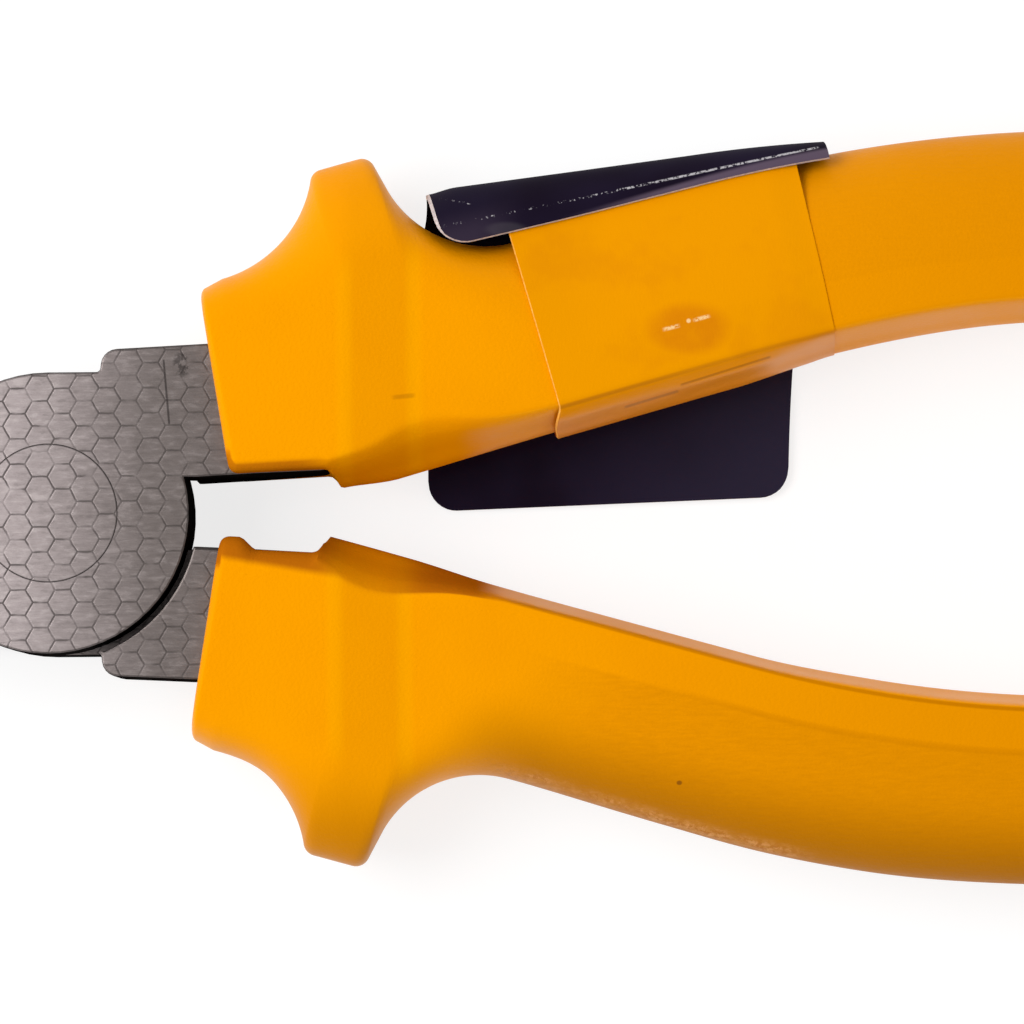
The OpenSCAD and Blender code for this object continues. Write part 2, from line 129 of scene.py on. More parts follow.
class Wire:
    def __init__(self, tree, socket=None):
        self.tree, self.socket = tree, socket

    def node(self, kind, settings=None, inputs=None, out=0):
        made = self.tree.nodes.new(kind)
        for key, value in (settings or {}).items():
            setattr(made, key, value)
        for key, value in (inputs or {}).items():
            if isinstance(value, Wire):
                self.tree.links.new(value.socket, made.inputs[key])
            else:
                made.inputs[key].default_value = value
        return Wire(self.tree, made.outputs[out] if made.outputs else None)

    def maths(self, operation, *values):
        return self.node("ShaderNodeMath", {"operation": operation}, dict(enumerate(values)))

    def __add__(self, other):
        return self.maths("ADD", self, other)

    def __radd__(self, other):
        return self.maths("ADD", other, self)

    def __sub__(self, other):
        return self.maths("SUBTRACT", self, other)

    def __rsub__(self, other):
        return self.maths("SUBTRACT", other, self)

    def __mul__(self, other):
        return self.maths("MULTIPLY", self, other)

    def __rmul__(self, other):
        return self.maths("MULTIPLY", other, self)

    def __truediv__(self, other):
        return self.maths("DIVIDE", self, other)

    def __mod__(self, other):
        return self.maths("FLOORED_MODULO", self, other)

    def __abs__(self):
        return self.maths("ABSOLUTE", self)

    def root(self):
        return self.maths("SQRT", self)

    def low(self, other):
        return self.maths("MINIMUM", self, other)

    def high(self, other):
        return self.maths("MAXIMUM", self, other)

    def step(self, low, high):  # smooth step from 0 at low to 1 at high
        return self.node("ShaderNodeMapRange", {"interpolation_type": "SMOOTHSTEP"},
                         {"Value": self, "From Min": low, "From Max": high})

    def inside(self, low, high, soft):  # 1 between low and high, with soft ends
        return self.step(low - soft, low + soft) * (1 - self.step(high - soft, high + soft))

    def mix(self, colourA, colourB):  # this value mixes two colours
        return self.node("ShaderNodeMix", {"data_type": "RGBA"}, {0: self, 6: colourA, 7: colourB}, 2)

    def stretched(self, x, y, z):  # this vector scaled along its axes
        return self.node("ShaderNodeVectorMath", {"operation": "MULTIPLY"}, {0: self, 1: (x, y, z)})

    def split(self):
        made = self.node("ShaderNodeSeparateXYZ", {}, {0: self}).socket.node
        return [Wire(self.tree, s) for s in made.outputs]

    def cloud(self, scale, detail=3.0, rough=0.5):  # noise over this vector, about 0 to 1
        return self.node("ShaderNodeTexNoise", {}, {
            "Vector": self, "Scale": scale, "Detail": detail, "Roughness": rough})


def newFinish(name):  # material with its output, and a wire to start expressions from
    material = bpy.data.materials.new(name)
    material.use_nodes = True
    tree = material.node_tree
    tree.nodes.clear()
    start = Wire(tree)
    place = start.node("ShaderNodeTexCoord", out=3).stretched(1000, 1000, 1000)  # object place in mm
    return material, start, place


def endFinish(start, inputs, bump, dull=None):  # shader with its bump, and a mask of where it is dull
    height, strength, distance = bump
    inputs["Normal"] = start.node("ShaderNodeBump", {}, {
        "Height": height, "Strength": strength, "Distance": distance})
    shader = start.node("ShaderNodeBsdfPrincipled", {}, inputs)
    if dull:
        plain = start.node("ShaderNodeBsdfPrincipled", {}, {**inputs, "Specular IOR Level": 0.0})
        shader = start.node("ShaderNodeMixShader", {}, {0: dull, 1: shader, 2: plain})
    start.node("ShaderNodeOutputMaterial", {}, {"Surface": shader})


def onLine(x, y, first, last, width):  # 1 on a short line between two points
    (x0, y0), (x1, y1) = first, last
    length = math.hypot(x1 - x0, y1 - y0)
    dx, dy = (x1 - x0) / length, (y1 - y0) / length
    along = (x - x0) * dx + (y - y0) * dy
    across = abs((y - y0) * dx - (x - x0) * dy)
    return (1 - across.step(0.3 * width, width)) * along.inside(0, length, width)


def onSpot(x, y, place, halfX, halfY):  # 1 in the middle of an oval, 0 at its edge
    dx, dy = (x - place[0]) / halfX, (y - place[1]) / halfY
    return 1 - (dx * dx + dy * dy).root().step(0.5, 1.0)


# mesh building

def newPiece(name, points, faces, finishes, body, nodes, faceFinish=None):
    mesh = bpy.data.meshes.new(name)
    mesh.from_pydata([Vector(p) * mm for p in points], [], faces)
    for finish in finishes:
        mesh.materials.append(finish)
    if faceFinish:
        mesh.polygons.foreach_set("material_index", faceFinish)
    return placePiece(bpy.data.objects.new(name, mesh), body, nodes)


def placePiece(piece, body, nodes):
    scene.collection.objects.link(piece)
    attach(piece, body)
    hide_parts(*nodes)
    return piece


def shadeByAngle(mesh, degrees):  # smooth shading with sharp edges above an angle
    form = bmesh.new()
    form.from_mesh(mesh)
    bmesh.ops.recalc_face_normals(form, faces=form.faces)
    for face in form.faces:
        face.smooth = True
    for edge in form.edges:
        edge.smooth = edge.calc_face_angle(0) < math.radians(degrees)
    form.to_mesh(mesh)
    form.free()


def loft(rings):  # points and faces of a closed loft through rings
    row = len(rings[0])
    faces = [tuple(reversed(range(row)))]
    for i in range(len(rings) - 1):
        for j in range(row):
            a, b = i * row + j, i * row + (j + 1) % row
            faces.append((a, b, b + row, a + row))
    faces.append(tuple(range((len(rings) - 1) * row, len(rings) * row)))
    return [p for ring in rings for p in ring], faces


def sheet(top, bottom):  # points and faces of a closed sheet; finish 0 on its sides, 1 on its rim
    rows, row = len(top), len(top[0])
    under = rows * row
    faces = []
    for i in range(rows - 1):
        for j in range(row - 1):
            a = i * row + j
            faces.append((a, a + 1, a + row + 1, a + row))
            faces.append((a + under, a + row + under, a + row + 1 + under, a + 1 + under))
    finish = [0] * len(faces)
    rim = list(range(row)) + [i * row + row - 1 for i in range(1, rows)]
    rim += [(rows - 1) * row + j for j in range(row - 2, -1, -1)]
    rim += [i * row for i in range(rows - 2, 0, -1)]
    for a, b in zip(rim, rim[1:] + rim[:1]):
        faces.append((a, a + under, b + under, b))
    finish += [1] * (len(faces) - len(finish))
    return [p for r in top + bottom for p in r], faces, finish


def turnedOver(point):  # place of the twin on the lower handle
    x, y, z = point
    return x, -y, 2 * handle["middleZ"] - z


# line of the upper handle, in mm and degrees

rivetLow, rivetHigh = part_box("pivot_rivet")
handle = {
    "startX": 15.5,
    "startY": 8.3,
    "angle": 15.6,
    "straight": 47.0,
    "bowRadius": 120.0,
    "tailAngle": 8.0,
    "reach": 139.0,
    "blend": 1.0,  # half the length over which its straight, bow and tail blend in the finish
    "middleZ": (rivetLow.z + rivetHigh.z) / 2 / mm,
}
leave, tail = math.radians(handle["angle"]), math.radians(handle["tailAngle"])
bowEnd = handle["straight"] + handle["bowRadius"] * (leave + tail)
bowEndX = (handle["startX"] + handle["straight"] * math.cos(leave)
           + handle["bowRadius"] * (math.sin(leave) + math.sin(tail)))
gripLength = bowEnd + (handle["reach"] - bowEndX) / math.cos(tail)


def onHandle(u, n):  # point at u along the handle and n to its outer side
    inStraight = min(u, handle["straight"])
    inBow = max(0.0, min(u, bowEnd) - handle["straight"])
    inTail = max(0.0, u - bowEnd)
    a, r = leave - inBow / handle["bowRadius"], handle["bowRadius"]
    x = handle["startX"] + inStraight * math.cos(leave) + r * (math.sin(leave) - math.sin(a))
    y = handle["startY"] + inStraight * math.sin(leave) + r * (math.cos(a) - math.cos(leave))
    return x + inTail * math.cos(a) - n * math.sin(a), y + inTail * math.sin(a) + n * math.cos(a)


def handlePlace(x, y):  # wires of u along the upper handle and n to its outer side
    dx, dy = x - handle["startX"], y - handle["startY"]
    u = dx * math.cos(leave) + dy * math.sin(leave)
    n = dy * math.cos(leave) - dx * math.sin(leave)
    centreX, centreY = onHandle(handle["straight"], -handle["bowRadius"])
    dx, dy = x - centreX, y - centreY
    bowed = (dx * dx + dy * dy).root() - handle["bowRadius"]
    blend = handle["blend"]
    n = n + u.step(handle["straight"] - blend, handle["straight"] + blend) * (bowed - n)
    endX, endY = onHandle(bowEnd, 0)
    tailed = (y - endY) * math.cos(tail) + (x - endX) * math.sin(tail)
    return u, n + x.step(endX - blend, endX + blend) * (tailed - n)


# shank inside the grip, in mm

shank = {
    "cavityStart": 8.0,
    "shoulder": (1.5, 0.6),  # how far the outer edge runs on past the grip's front, and how far it rises
    "innerY": 3.1,
    "slope": math.tan(math.radians(3)),
    "arcRadius": 13.35,
    "outerY": 14.6,
    "notchX": 25.6,
    "bendX": 24.8,
    "tangInner": 13.6,
    "tangOuter": 11.1,
    "taperStart": 18.5,
    "taper": 8.0,
    "jointHalf": 5.5,
    "tangHalfWidth": 4.0,
    "tangHalf": 3.5,
    "tangEnd": 9.0,
    "fit": 0.125,
}


def shankEdge(x):  # height of the shank's inner edge
    return shank["innerY"] + max(0.0, x - shank["arcRadius"]) * shank["slope"]


def heightAt(line, x):  # height of a line of points at x
    for (x0, y0), (x1, y1) in zip(line, line[1:]):
        if x <= x1:
            return lerp(y0, y1, ramp(x0, x1, x))
    return line[-1][1]


def cavityRings():  # room for the shank and the tang, as rings along x
    s, fit = shank, shank["fit"]
    side = s["tangHalfWidth"] + fit
    last = gripLength - s["tangEnd"] + fit
    bow = [lerp(handle["straight"], bowEnd, i / 16) for i in range(17)]
    inner = [(s["cavityStart"], s["innerY"] - fit), (s["arcRadius"], s["innerY"] - fit),
             (s["bendX"], shankEdge(s["bendX"]) - fit)]
    inner += [onHandle(u, -side) for u in [s["tangInner"]] + bow + [last]]
    past, rise = s["shoulder"]
    outer = [(s["cavityStart"], s["outerY"] + fit), (handle["startX"] + past, s["outerY"] + rise + fit)]
    outer += [onHandle(u, side) for u in [s["tangOuter"]] + bow + [last]]
    thin = s["taperStart"] + s["taper"]
    ends = min(inner[-1][0], outer[-1][0])
    stops = sorted({p[0] for p in inner + outer if p[0] < ends} | {s["taperStart"], thin, ends})
    rings = []
    for x in stops:
        half = lerp(s["jointHalf"], s["tangHalf"], ramp(s["taperStart"], thin, x)) + fit
        low, high, z = heightAt(inner, x), heightAt(outer, x), handle["middleZ"]
        rings.append([(x, low, z - half), (x, high, z - half), (x, high, z + half), (x, low, z + half)])
    return rings


# moulded grips, in mm and degrees

grip = {
    "inner": 8.4,
    "collarInner": 0.2,
    "collarFade": (10, 30),
    "outer": 8.6,
    "waistLength": 14.0,
    "collarHalf": 8.4,
    "handleHalf": 7.2,
    "slopeStart": 11.1,
    "slopeEnd": 17.3,
    "slopeEase": 0.8,
    "collarHeight": 11.8,
    "collarClimb": 0.5,
    "riseFade": (3.5, 9.45),
    "guardHeight": 19.5,
    "frontHollow": 11.0,
    "backHollow": 10.0,
    "tipLength": 3.6,
    "tipCorner": 1.2,
    "tipMeet": (0.94, 0.66),  # shares of the corner at which the front hollow meets the tip
    "tipFrontAngle": 155,
    "tipBackAngle": 10,
    "tipFlank": 0.6,
    "tipThin": 0.27,
    "tipStart": 11.3,
    "tipEnd": 19.0,
    "tipEase": 1.2,
    "frontFillet": 0.7,
    "frontLean": math.tan(math.radians(6.5)),
    "leanLength": 3.5,
    "domeLength": 6.0,
    "domePower": 0.6,
    "domeAngle": 89.6,  # the dome stops just short of a point
    "flankAngle": 195,
    "rimSoft": 0.15,
    "rimGap": 0.1,
    "notchEase": (0.5, 0.4),  # start of the notch's step before its corner, and half its soft length
    "notchLength": 20.0,
    "beadLength": 4.2,
    "beadSlope": 1.6,
    "faceEnd": 6.0,
    "crease": -3.1,
    "creaseRun": (16, 34),
    "creaseRoom": 1.5,
    "creaseSlope": 0.2,
    "slopeRun": (26, 38),
    "cornerPower": (4, 2.5),  # of the outer corner's curve, boxy by the collar and round on the handle
    "powerRun": (14, 30),
    "wallRun": (22, 34),
    # inner wall as (share of its band, share of the half height), with two facets by the collar
    "facetWall": [(0.36, -0.5), (0, 0), (0.32, 0.41), (0.6, 0.735), (0.75, 0.86), (0.93, 0.955),
                  (1.08, 0.992), (1.3, 1), (1.6, 1)],
    "roundWall": [(0.36, -0.5), (0, 0), (0.3, 0.41), (0.56, 0.75), (0.7, 0.9), (0.82, 0.965), (0.95, 0.993),
                  (1.15, 1), (1.6, 1)],
}
upperForm = {
    "seat": 0.0,
    "bead": 0.0,
    "rimRadius": 1.2,
    "notchStep": 1.58,
    "waist": 0.15,
    "collarRise": 0.0,
    "innerSwell": 0.65,
    "innerRise": (8, 14),
    "innerFall": (48, 76),
    "outerSwell": 0.25,
    "outerRise": (45, 60),
    "outerFall": (90, 110),
    "band": 2.0,
    "bandSwell": 1.95,
    "bandMiddle": 17.0,
    "bandSpread": 5.2,
    "rimShade": 0.75,
    "facetShade": 0.08,
    "endShade": 0.0,
    "shadeStretch": (5.0, 9.5),
    "facetFade": (19.0, 23.0),
    "grain": 0.35,
}
lowerForm = {
    "seat": 1.0,
    "bead": 1.1,
    "rimRadius": 1.9,
    "notchStep": 2.3,
    "waist": 0.3,
    "collarRise": 0.45,
    "innerSwell": -0.22,
    "innerRise": (16, 24),
    "innerFall": (48, 60),
    "outerSwell": 0.2,
    "outerRise": (40, 55),
    "outerFall": (62, 76),
    "band": 1.35,
    "bandSwell": 2.5,
    "bandMiddle": 13.5,
    "bandSpread": 6.0,
    "rimShade": 0.95,
    "facetShade": 0.38,
    "endShade": 0.9,
    "shadeStretch": (6.5, 10.5),
    "facetFade": (21.2, 24.4),
    "grain": 1.0,
}
hollowN = grip["collarHeight"] + grip["collarClimb"]
meetU, meetN = [share * grip["tipCorner"] for share in grip["tipMeet"]]
hollowAngle = math.degrees(math.asin((grip["guardHeight"] - meetN - hollowN) / grip["frontHollow"] - 1))
tipU = grip["leanLength"] + grip["frontHollow"] * math.cos(math.radians(hollowAngle)) + meetU
backU = (tipU + grip["tipLength"] + grip["tipCorner"] + grip["tipFlank"]
         - grip["backHollow"] * math.cos(math.radians(grip["flankAngle"])))


def handleOuter(form, u):  # outer side of the grip behind the guard
    side = grip["outer"] - form["waist"] * (1 - smooth(backU, backU + grip["waistLength"], u))
    return side + form["outerSwell"] * hill(form["outerRise"], form["outerFall"], u)


def gripStations(form):  # (u, outer side, inset, shrink) along the grip
    g = grip
    fillet, tipN = g["frontFillet"], g["guardHeight"] - g["tipCorner"]
    stations = []
    for i in range(9):
        a = math.radians(90 * i / 8)
        stations.append((fillet * (1 - math.cos(a)), fillet * (1 - math.sin(a))))
    stations += [(lerp(fillet, g["leanLength"], i / 8), 0.0) for i in range(1, 8)]
    climb = g["collarClimb"] / g["leanLength"]
    stations = [(u, g["collarHeight"] + climb * u, inset) for u, inset in stations]
    hollow = (g["leanLength"], hollowN + g["frontHollow"])
    profile = arcPoints(hollow, g["frontHollow"], -90, hollowAngle, 36)
    profile += arcPoints((tipU, tipN), g["tipCorner"], g["tipFrontAngle"], 90, 9)
    profile += [(tipU + g["tipLength"] * i / 8, g["guardHeight"]) for i in range(1, 8)]
    profile += arcPoints((tipU + g["tipLength"], tipN), g["tipCorner"], 90, g["tipBackAngle"], 10)
    back = arcPoints((backU, g["outer"] - form["waist"] + g["backHollow"]), g["backHollow"],
                     g["flankAngle"], 270, 30)
    profile += [tuple(lerp(p, q, i / 6) for p, q in zip(profile[-1], back[0])) for i in range(1, 6)] + back
    last = gripLength - g["domeLength"]
    along = [lerp(backU, last, i / 150) for i in range(1, 151)]
    profile += [(u, handleOuter(form, u)) for u in along]
    stations += [(u, n, 0.0) for u, n in profile]
    lift = [form["collarRise"] * (1 - smooth(*g["riseFade"], u)) for u, _, _ in stations]
    stations = [(u, n + more, inset, 1.0) for (u, n, inset), more in zip(stations, lift)]
    for i in range(1, 31):
        a = math.radians(g["domeAngle"] * i / 30)
        u = gripLength - g["domeLength"] * (1 - math.sin(a))
        stations.append((u, handleOuter(form, u), 0.0, math.cos(a) ** g["domePower"]))
    return stations


def halfAt(u, n):  # half the height of the grip
    along = u * math.cos(leave) - n * math.sin(leave)
    slope = easedRamp(grip["slopeStart"], grip["slopeEnd"], grip["slopeEase"], along)
    thin = grip["tipThin"] * easedRamp(grip["tipStart"], grip["tipEnd"], grip["tipEase"], n)
    return lerp(grip["collarHalf"], grip["handleHalf"], slope) * (1 - thin)


def gripSizes(form, u, outer, shrink=1.0, inset=0.0):  # inner and outer side, inner band, crease
    inner = grip["inner"] + grip["collarInner"] * (1 - smooth(*grip["collarFade"], u))
    inner += form["innerSwell"] * hill(form["innerRise"], form["innerFall"], u)
    band = form["band"] + form["bandSwell"] * bell(form["bandMiddle"], form["bandSpread"], u)
    outer = (outer - inset) * shrink
    crease = lerp(grip["faceEnd"], grip["crease"], smooth(*grip["creaseRun"], u)) * shrink
    crease = min(crease, outer - grip["creaseRoom"] * shrink)
    return (inner - inset) * shrink, outer, band * shrink, crease


def gripFront(form, u, outer, shrink=1.0, inset=0.0):  # points (n, z) over the front, inner to outer side
    inner, outer, band, crease = gripSizes(form, u, outer, shrink, inset)
    power = lerp(*grip["cornerPower"], smooth(*grip["powerRun"], u))
    slope = grip["creaseSlope"] * smooth(*grip["slopeRun"], u)
    soft = smooth(*grip["wallRun"], u)
    wall = [(lerp(n0, n1, soft), lerp(z0, z1, soft))
            for (n0, z0), (n1, z1) in zip(grip["facetWall"], grip["roundWall"])]
    line = splinePoints([(band * n - inner, z) for n, z in wall], 5)
    first = line[-1][0]
    line += [(lerp(first, crease, i / 10), 1.0) for i in range(1, 10)]
    for i in range(25):
        a = math.radians(90 * i / 24)
        s, c = math.sin(a), math.cos(a)
        reach = (s ** power + abs(c) ** power) ** (-1 / power)
        z = reach * c * (1 - slope * reach * s) if i < 24 else 0.0
        line.append((crease + (outer - crease) * reach * s, z))
    return [(n, z * (halfAt(u, n) - inset) * shrink) for n, z in line]


def notchLine(form, x):  # lower edge of the collar beside the shank's inner edge
    front, step = handle["startX"] - form["seat"], shank["notchX"] - form["seat"]
    y = shankEdge(x) + grip["rimGap"]
    beadEnd = front + grip["beadLength"]
    y -= form["bead"] * (1 - smooth(beadEnd - grip["beadSlope"], beadEnd, x))
    before, ease = grip["notchEase"]
    return y - form["notchStep"] * softRamp(x - step + before, ease)


def notchSide(form, u, lean):  # place of the notch on the ring at u, found by halving
    low, high = -14.0, 2.0
    if u > grip["notchLength"]:
        return 2 * low
    for _ in range(40):
        n = (low + high) / 2
        x, y = onHandle(u - form["seat"] + lean * n, n)
        if y > notchLine(form, x):
            high = n
        else:
            low = n
    return low


def gripRings(form):
    rings = []
    for u, outer, inset, shrink in gripStations(form):
        lean = grip["frontLean"] * (1 - ramp(0, grip["leanLength"], u))
        front = gripFront(form, u, outer, shrink, inset)
        points = front + [(n, -z) for n, z in front[-2:0:-1]]
        notch = notchSide(form, u, lean) + inset
        ring = []
        for n, z in points:
            below = (halfAt(u, n) - inset) * shrink - abs(z)
            n = softMax(n, notch + roundedBack(form["rimRadius"], below), grip["rimSoft"])
            x, y = onHandle(u - form["seat"] + lean * n, n)
            ring.append((x, y, handle["middleZ"] + z))
        rings.append(ring)
    return rings


def cutCavity(piece, turn):  # opens the grip for its shank
    points, faces = loft(cavityRings())
    mesh = bpy.data.meshes.new("cavity")
    mesh.from_pydata([Vector(turn(p)) * mm for p in points], [], faces)
    shadeByAngle(mesh, 30)
    cutter = bpy.data.objects.new("cavity", mesh)
    scene.collection.objects.link(cutter)
    cut = piece.modifiers.new("cavity", "BOOLEAN")
    cut.operation, cut.solver, cut.object = "DIFFERENCE", "EXACT", cutter
    bpy.context.view_layer.update()
    whole = piece.evaluated_get(bpy.context.evaluated_depsgraph_get())
    piece.data = bpy.data.meshes.new_from_object(whole)
    piece.modifiers.clear()
    bpy.data.objects.remove(cutter)


def makeGrip(name, node, body, form, turn, finish):
    points, faces = loft([[turn(p) for p in ring] for ring in gripRings(form)])
    piece = newPiece(name, points, faces, [finish], body, [node])
    shadeByAngle(piece.data, 34)
    cutCavity(piece, turn)
    shadeByAngle(piece.data, 34)
    return piece


gripColour = {
    "orange": (0.93, 0.335, 0.0, 1),
    "deep": (0.87, 0.295, 0.0, 1),
    "ridgeHighlight": (0.98, 0.39, 0.0, 1),
    "pale": (1.0, 0.405, 0.004, 1),
    "rightwardShade": (0.80, 0.275, 0.0, 1),
    "grainAndShade": (0.70, 0.24, 0.0, 1),
    "outerShade": (0.43, 0.148, 0.0, 1),
    "shade": (0.45, 0.12, 0.003, 1),
    "darkMark": (0.46, 0.14, 0.0, 1),
    "worn": (0.70, 0.32, 0.09, 1),
    "speck": (0.20, 0.06, 0.004, 1),
    "gloss": (1.0, 0.42, 0.0, 1),
    "roughness": 0.42,
    "rightwardShadeStretch": (30, 90),
    "ridges": (26.6, 32.8),
    "ridgeWidth": 1.1,
    "ridgeEnd": (8, 12),
    "grainAndShadeStretch": (40, 54),
    "innerEdge": (-3.6, -2.6),
    "endStretch": (12.5, 18),
    "rimSlope": 0.171,
    "rimEdge": (1.1, 1.95),
    "rimFade": (9, 14),
    "shadeLineShift": 0.12,
    "shadeLineWidth": (0.07, 0.28),
    "shadeLineStretch": (21, 27),
    "creaseShadeWidth": (0.1, 0.45),
    "creaseShadeStretch": (52, 64),
    "outerShadeStretch": (34, 44),
    "outerShadeSide": (0.5, 8.0),
    "wornStretch": (40.5, 67.0),
    "wornSide": (5.5, 7.0),
    "guardTipShade": (10, 18.5),
    "speckPlace": (56.15, -24.5),
    "speckSize": (0.32, 0.26),
    "smear": ((30.9, 9.95), (32.8, 10.15)),
    "smearWidth": 0.3,
}


def frontSide(z):  # 1 in front of the handle's middle
    return z.step(handle["middleZ"], handle["middleZ"] + 2)


def lowerShadeAndWear(colour, place, u, n, facing):  # painted shade along the inner edge, the crease, the outer side and the guard tip, with the worn edge and a speck of the lower grip
    c = gripColour
    x, y, z = place.split()
    # painted shade line where the face turns into the inner wall
    shadeLine = lowerForm["band"] - grip["inner"] - lowerForm["innerSwell"] - c["shadeLineShift"]
    darkMark = (1 - abs(n - shadeLine).step(*c["shadeLineWidth"])) * u.step(*c["shadeLineStretch"])
    colour = (0.6 * darkMark).mix(colour, c["darkMark"])
    # painted shade darkens the lower handle towards its outer side
    colour = (0.85 * n.step(*c["outerShadeSide"]) * x.step(*c["outerShadeStretch"])).mix(colour, c["outerShade"])
    # painted shade line along the crease
    bend = (1 - abs(n - grip["crease"]).step(*c["creaseShadeWidth"])) * x.step(*c["creaseShadeStretch"])
    colour = (0.22 * bend).mix(colour, c["darkMark"])
    torn = place.stretched(0.8, 1.2, 1).cloud(1.7, 4, 0.7).step(0.46, 0.6)
    edge = facing.inside(0.2, 0.62, 0.12) * n.step(*c["wornSide"]) * frontSide(z)
    edge = edge * x.inside(*c["wornStretch"], 3) * (0.45 + 0.55 * place.cloud(0.3, 2).step(0.4, 0.55))
    colour = (edge * (0.3 + 0.55 * torn)).mix(colour, c["worn"])
    pits = place.stretched(1.2, 0.9, 1).cloud(1.6, 3, 0.7).step(0.5, 0.58)
    colour = (0.85 * edge * pits).mix(colour, c["darkMark"])
    # painted shade darkens the tip of the lower guard
    colour = (0.6 * n.step(*c["guardTipShade"])).mix(colour, c["outerShade"])
    return (0.8 * onSpot(x, y, c["speckPlace"], *c["speckSize"])).mix(colour, c["speck"])


def gripFinish(name, form):
    c = gripColour
    material, start, place = newFinish(name)
    x, y, _ = place.split()
    u, n = handlePlace(x, abs(y))
    facing = abs(start.node("ShaderNodeNewGeometry", out=1).split()[2])
    blotch = place.cloud(0.12, 2).step(0.35, 0.75)
    grain = place.cloud(3.5, 2)
    streak = place.stretched(0.25, 1.3, 1.3).cloud(2.4, 4, 0.6)
    colour = (0.35 * blotch).mix(c["orange"], c["deep"])
    # painted shade: the grip darkens towards the right
    colour = (0.75 * x.step(*c["rightwardShadeStretch"])).mix(colour, c["rightwardShade"])
    for ridge in c["ridges"]:  # painted highlights along the two ridges of the slope behind the collar
        near = 1 - abs(x - ridge + form["seat"]).step(0.2, c["ridgeWidth"])
        colour = (0.55 * near * (1 - n.step(*c["ridgeEnd"]))).mix(colour, c["ridgeHighlight"])
    # darker grain on the outer side, partly real grain and partly painted shade
    outside = n.step(grip["crease"] - 0.2, grip["crease"] + 0.3)
    grainAndShade = form["grain"] * outside * x.step(*c["grainAndShadeStretch"])
    colour = (grainAndShade * (0.5 + 1.1 * (streak - 0.5))).mix(colour, c["grainAndShade"])
    inside = 1 - n.step(*c["innerEdge"])
    fadeStart, fadeEnd = form["facetFade"]
    # painted light: the steep inner walls further along the grip are paler
    wall = (1 - facing.step(0.7, 0.98)) * inside * u.step(fadeStart + 1, fadeEnd + 3)
    colour = (0.6 * wall).mix(colour, c["pale"])
    facet = (1 - facing.step(0.84, 0.992)) * inside * (1 - u.step(fadeStart, fadeEnd))
    if form["bead"]:  # painted shade covers the rim beside the shank all over
        rim = 1 - (abs(y) - x * c["rimSlope"]).step(*c["rimEdge"])
        facet = facet.high(rim * (1 - u.step(*c["rimFade"])))
    shade = form["rimShade"] + (form["facetShade"] - form["rimShade"]) * u.step(*form["shadeStretch"])
    shade = shade + (form["endShade"] - form["facetShade"]) * u.step(*c["endStretch"])
    colour = (shade * facet).mix(colour, c["shade"])
    if form["bead"]:
        colour = lowerShadeAndWear(colour, place, u, n, facing)
    else:
        colour = (0.3 * onLine(x, y, *c["smear"], c["smearWidth"])).mix(colour, c["speck"])
    endFinish(start, {
        "Base Color": colour,
        "Roughness": c["roughness"] + 0.10 * (grain - 0.5) + 0.06 * blotch + 0.08 * grainAndShade,
        "Specular IOR Level": 0.3,
        "Specular Tint": c["gloss"],
    }, (grain + 0.5 * blotch + 1.4 * grainAndShade * streak, 0.11, 0.0004), facet)
    return material


upperPlastic = gripFinish("upperGripPlastic", upperForm)
lowerPlastic = gripFinish("lowerGripPlastic", lowerForm)
upperGrip = makeGrip("upperGrip", "upper_grip", "upper", upperForm, tuple, upperPlastic)
lowerGrip = makeGrip("lowerGrip", "lower_grip", "lower", lowerForm, turnedOver, lowerPlastic)
print("grips made:", len(upperGrip.data.polygons), len(lowerGrip.data.polygons))


# label strap glued round the upper grip, and the folded card over it, in mm

strap = {
    "fit": 0.06,
    "thickness": 0.2,
    "start": 29.3,
    "width": 26.0,
    "leaveShare": 0.5,  # share of the outer corner at which the strap leaves the grip
    "slack": 0.4,
    "slackEnd": (-10, -1),
    "slackHeight": (0.72, 1.0),
    "thin": 0.7,  # share of its thickness that goes at the pressed end
    "thinEnd": (-3, 0),
    "wrinkles": [((51.6, 9.15), (56.4, 10.54)), ((56.6, 11.0), (64.6, 13.42))],
    "wrinkleHeight": 0.13,
    "wrinkleWidth": 0.35,
    "wrinkleEnd": 1.5,
    "cutSlant": 0.10,
    "cutSkew": 0.8,
    "skewSide": (-7.2, -9.0),
    "skewLength": 4.0,
    "tuck": 0.25,
    "orange": (0.86, 0.315, 0.0, 1),
    "stain": (0.72, 0.225, 0.002, 1),
    "scuff": (1.0, 0.70, 0.34, 1),
    "crease": (0.50, 0.165, 0.004, 1),
    "core": (0.96, 0.52, 0.10, 1),
    "gloss": (1.0, 0.42, 0.0, 1),
    "stainPlace": (57.3, 15.9),
    "stainSize": (4.6, 2.8),
    "scuffs": [((55.1, 15.84), (56.4, 16.16)), ((57.8, 16.66), (59.1, 17.0))],
    "scuffWidth": 0.24,
    "dot": (57.3, 16.6),
    "dotSize": (0.25, 0.25),
    "wrinkleShadeWidth": 0.14,
    "fold": -7.5,
    "foldShadeWidth": (0.05, 0.28),
    "foldShadeFade": (50, 62),
}
strapEnd = strap["start"] + strap["width"]
